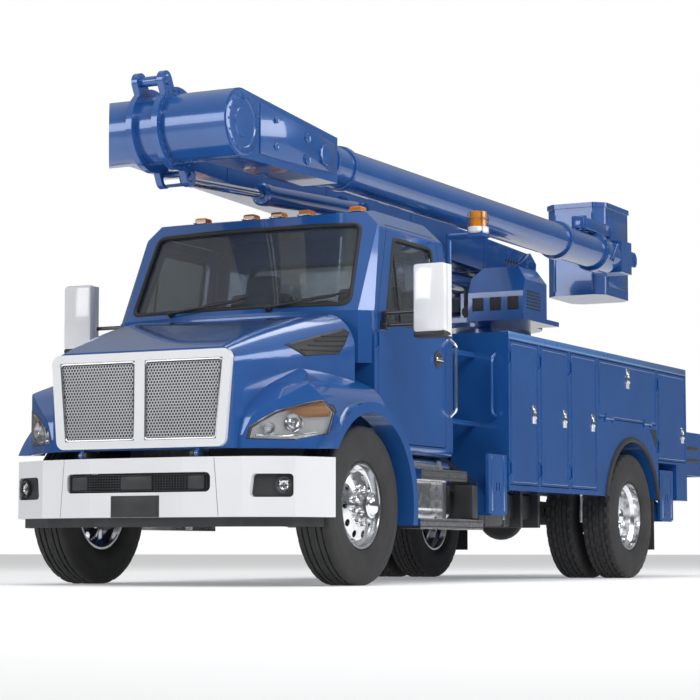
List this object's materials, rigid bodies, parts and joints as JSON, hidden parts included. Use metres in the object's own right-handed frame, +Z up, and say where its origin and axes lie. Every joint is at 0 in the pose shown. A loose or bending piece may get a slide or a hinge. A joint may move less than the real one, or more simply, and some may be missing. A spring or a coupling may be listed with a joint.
{
  "type": "cherry picker truck",
  "caption": "Bonneted utility truck with twin rear wheels, service body, outriggers and an over-centre articulated boom with bucket stowed over the cab.",
  "frame": {"origin": "on the ground under the middle of the vehicle's box", "axes": "+X forward along the truck, +Y to its left, +Z up"},
  "size_m": [8.78, 3.085, 3.6],
  "materials": {
    "blue_paint": "gloss",
    "dark_steel": "satin",
    "dark_plastic": "matte",
    "glass": "clear",
    "tyre": "matte",
    "bright_alloy": "polished",
    "white_trim": "gloss",
    "lamp_lens": "clear",
    "amber_lens": "gloss",
    "chrome_rod": "polished"
  },
  "bodies": {
    "chassis": {"frame": "dark_steel", "leaf_springs": "dark_steel", "front_axle": "dark_steel", "rear_axle": "dark_steel", "powertrain": "dark_steel", "bumper": "white_trim", "valance": "dark_plastic", "cab_shell": "blue_paint", "cab_glass": "glass", "cab_interior": "dark_plastic", "lamps": "amber_lens", "tanks_and_steps": "bright_alloy", "body_bank_left": "blue_paint", "body_bank_right": "blue_paint", "deck": "blue_paint", "outrigger_boxes": "blue_paint", "pedestal": "blue_paint"},
    "hood": {"hood": "blue_paint", "grille": "white_trim", "headlamps": "lamp_lens"},
    "steer_left": {"knuckle_left": "dark_steel"},
    "wheel_front_left": {"tyre_front_left": "tyre", "rim_front_left": "bright_alloy"},
    "wheel_rear_left": {"tyres_rear_left": "tyre", "rims_rear_left": "bright_alloy"},
    "cab_door_left": {"door_left": "blue_paint", "door_glass_left": "glass", "mirror_left": "white_trim"},
    "body_door_first_left": {"body_door_first_left": "blue_paint"},
    "body_door_second_left": {"body_door_second_left": "blue_paint"},
    "body_door_third_left": {"body_door_third_left": "blue_paint"},
    "body_door_over_wheel_left": {"body_door_over_wheel_left": "blue_paint"},
    "body_door_rear_left": {"body_door_rear_left": "blue_paint"},
    "leg_front_left": {"leg_front_left": "blue_paint"},
    "leg_rear_left": {"leg_rear_left": "blue_paint"},
    "steer_right": {"knuckle_right": "dark_steel"},
    "wheel_front_right": {"tyre_front_right": "tyre", "rim_front_right": "bright_alloy"},
    "wheel_rear_right": {"tyres_rear_right": "tyre", "rims_rear_right": "bright_alloy"},
    "cab_door_right": {"door_right": "blue_paint", "door_glass_right": "glass", "mirror_right": "white_trim"},
    "body_door_first_right": {"body_door_first_right": "blue_paint"},
    "body_door_second_right": {"body_door_second_right": "blue_paint"},
    "body_door_third_right": {"body_door_third_right": "blue_paint"},
    "body_door_over_wheel_right": {"body_door_over_wheel_right": "blue_paint"},
    "body_door_rear_right": {"body_door_rear_right": "blue_paint"},
    "leg_front_right": {"leg_front_right": "blue_paint"},
    "leg_rear_right": {"leg_rear_right": "blue_paint"},
    "turret": {"turret": "blue_paint"},
    "lower_boom": {"lower_boom": "blue_paint"},
    "lift_barrel": {"lift_barrel": "blue_paint"},
    "lift_rod": {"lift_rod": "chrome_rod"},
    "elbow_barrel": {"elbow_barrel": "blue_paint"},
    "elbow_rod": {"elbow_rod": "chrome_rod"},
    "upper_boom": {"upper_boom": "blue_paint"},
    "levelling_wheel": {"levelling_wheel": "blue_paint"},
    "bucket": {"bucket": "blue_paint"}
  },
  "joints": [
    {"name": "hood_tilt", "type": "hinge", "parent": "chassis", "child": "hood", "pos_m": [4.345, 0, 0.845], "axis": [0, -1, 0], "range_deg": [-60, 0]},
    {"name": "steer_left", "type": "hinge", "parent": "chassis", "child": "steer_left", "pos_m": [3.39, 0.8, 0.525], "axis": [0, 0, 1], "range_deg": [-35, 35]},
    {"name": "wheel_front_left", "type": "hinge", "parent": "steer_left", "child": "wheel_front_left", "pos_m": [3.39, 1.02, 0.525], "axis": [0, 1, 0], "continuous": true},
    {"name": "wheel_rear_left", "type": "hinge", "parent": "chassis", "child": "wheel_rear_left", "pos_m": [-1.51, 0.915, 0.525], "axis": [0, 1, 0], "continuous": true},
    {"name": "cab_door_left", "type": "hinge", "parent": "chassis", "child": "cab_door_left", "pos_m": [2.95, 1.0374, 1.4], "axis": [0, 0, -1], "range_deg": [0, 70]},
    {"name": "body_door_first_left", "type": "hinge", "parent": "chassis", "child": "body_door_first_left", "pos_m": [1.114, 1.2274, 1.02], "axis": [0, 0, -1], "range_deg": [0, 100]},
    {"name": "body_door_second_left", "type": "hinge", "parent": "chassis", "child": "body_door_second_left", "pos_m": [0.519, 1.2274, 1.02], "axis": [0, 0, -1], "range_deg": [0, 100]},
    {"name": "body_door_third_left", "type": "hinge", "parent": "chassis", "child": "body_door_third_left", "pos_m": [-0.111, 1.2274, 1.02], "axis": [0, 0, -1], "range_deg": [0, 100]},
    {"name": "body_door_over_wheel_left", "type": "hinge", "parent": "chassis", "child": "body_door_over_wheel_left", "pos_m": [-1.42, 1.2274, 1.326], "axis": [1, 0, 0], "range_deg": [-90, 0]},
    {"name": "body_door_rear_left", "type": "hinge", "parent": "chassis", "child": "body_door_rear_left", "pos_m": [-2.176, 1.2274, 1.32], "axis": [0, 0, -1], "range_deg": [0, 100]},
    {"name": "leg_front_left", "type": "slide", "parent": "chassis", "child": "leg_front_left", "axis": [0, 0.8039, -0.5948], "range_m": [0, 0.8]},
    {"name": "leg_rear_left", "type": "slide", "parent": "chassis", "child": "leg_rear_left", "axis": [0, 0.8039, -0.5948], "range_m": [0, 0.8]},
    {"name": "steer_right", "type": "hinge", "parent": "chassis", "child": "steer_right", "pos_m": [3.39, -0.8, 0.525], "axis": [0, 0, 1], "range_deg": [-35, 35]},
    {"name": "wheel_front_right", "type": "hinge", "parent": "steer_right", "child": "wheel_front_right", "pos_m": [3.39, -1.02, 0.525], "axis": [0, 1, 0], "continuous": true},
    {"name": "wheel_rear_right", "type": "hinge", "parent": "chassis", "child": "wheel_rear_right", "pos_m": [-1.51, -0.915, 0.525], "axis": [0, 1, 0], "continuous": true},
    {"name": "cab_door_right", "type": "hinge", "parent": "chassis", "child": "cab_door_right", "pos_m": [2.95, -1.0374, 1.4], "axis": [0, 0, 1], "range_deg": [0, 70]},
    {"name": "body_door_first_right", "type": "hinge", "parent": "chassis", "child": "body_door_first_right", "pos_m": [1.114, -1.2274, 1.02], "axis": [0, 0, 1], "range_deg": [0, 100]},
    {"name": "body_door_second_right", "type": "hinge", "parent": "chassis", "child": "body_door_second_right", "pos_m": [0.519, -1.2274, 1.02], "axis": [0, 0, 1], "range_deg": [0, 100]},
    {"name": "body_door_third_right", "type": "hinge", "parent": "chassis", "child": "body_door_third_right", "pos_m": [-0.111, -1.2274, 1.02], "axis": [0, 0, 1], "range_deg": [0, 100]},
    {"name": "body_door_over_wheel_right", "type": "hinge", "parent": "chassis", "child": "body_door_over_wheel_right", "pos_m": [-1.42, -1.2274, 1.326], "axis": [-1, 0, 0], "range_deg": [-90, 0]},
    {"name": "body_door_rear_right", "type": "hinge", "parent": "chassis", "child": "body_door_rear_right", "pos_m": [-2.176, -1.2274, 1.32], "axis": [0, 0, 1], "range_deg": [0, 100]},
    {"name": "leg_front_right", "type": "slide", "parent": "chassis", "child": "leg_front_right", "axis": [0, -0.8039, -0.5948], "range_m": [0, 0.8]},
    {"name": "leg_rear_right", "type": "slide", "parent": "chassis", "child": "leg_rear_right", "axis": [0, -0.8039, -0.5948], "range_m": [0, 0.8]},
    {"name": "turret_slew", "type": "hinge", "parent": "chassis", "child": "turret", "pos_m": [-1.36, 0, 2.15], "axis": [0, 0, 1], "continuous": true},
    {"name": "lower_boom_lift", "type": "hinge", "parent": "turret", "child": "lower_boom", "pos_m": [-2.51, -0.33, 2.83], "axis": [0, -1, 0], "range_deg": [0, 85]},
    {"name": "lift_barrel_swing", "type": "hinge", "parent": "lower_boom", "child": "lift_barrel", "pos_m": [0.19, -0.33, 2.595], "axis": [0, -1, 0], "range_deg": [0, 8]},
    {"name": "lift_rod_slide", "type": "slide", "parent": "lift_barrel", "child": "lift_rod", "axis": [-1, 0, 0], "range_m": [0, 0.64]},
    {"name": "elbow_unfold", "type": "hinge", "parent": "lower_boom", "child": "upper_boom", "pos_m": [4.025, 0, 3.02], "axis": [0, 1, 0], "range_deg": [0, 180]},
    {"name": "elbow_barrel_swing", "type": "hinge", "parent": "lower_boom", "child": "elbow_barrel", "pos_m": [1.19, -0.032, 2.85957], "axis": [0, -1, 0], "range_deg": [0, 6.5]},
    {"name": "elbow_rod_slide", "type": "slide", "parent": "elbow_barrel", "child": "elbow_rod", "axis": [-0.9986, 0, 0.0531], "range_m": [0, 0.3]},
    {"name": "levelling_wheel", "type": "hinge", "parent": "upper_boom", "child": "levelling_wheel", "pos_m": [-3.41, 0.22, 2.98], "axis": [0, 1, 0], "range_deg": [0, 85]},
    {"name": "bucket_level", "type": "hinge", "parent": "levelling_wheel", "child": "bucket", "pos_m": [-3.9925, 0.2, 3.1], "axis": [0, -1, 0], "range_deg": [0, 180]}
  ],
  "couplings": [
    {"joint": "steer_right", "follows": "steer_left", "ratio": 1},
    {"joint": "lift_barrel_swing", "follows": "lower_boom_lift", "ratio": 0.088},
    {"joint": "lift_rod_slide", "follows": "lower_boom_lift", "m_per_rad": 0.428},
    {"joint": "levelling_wheel", "follows": "lower_boom_lift", "ratio": 1},
    {"joint": "elbow_barrel_swing", "follows": "elbow_unfold", "ratio": 0.0333},
    {"joint": "elbow_rod_slide", "follows": "elbow_unfold", "m_per_rad": 0.0954},
    {"joint": "bucket_level", "follows": "elbow_unfold", "ratio": 1}
  ]
}
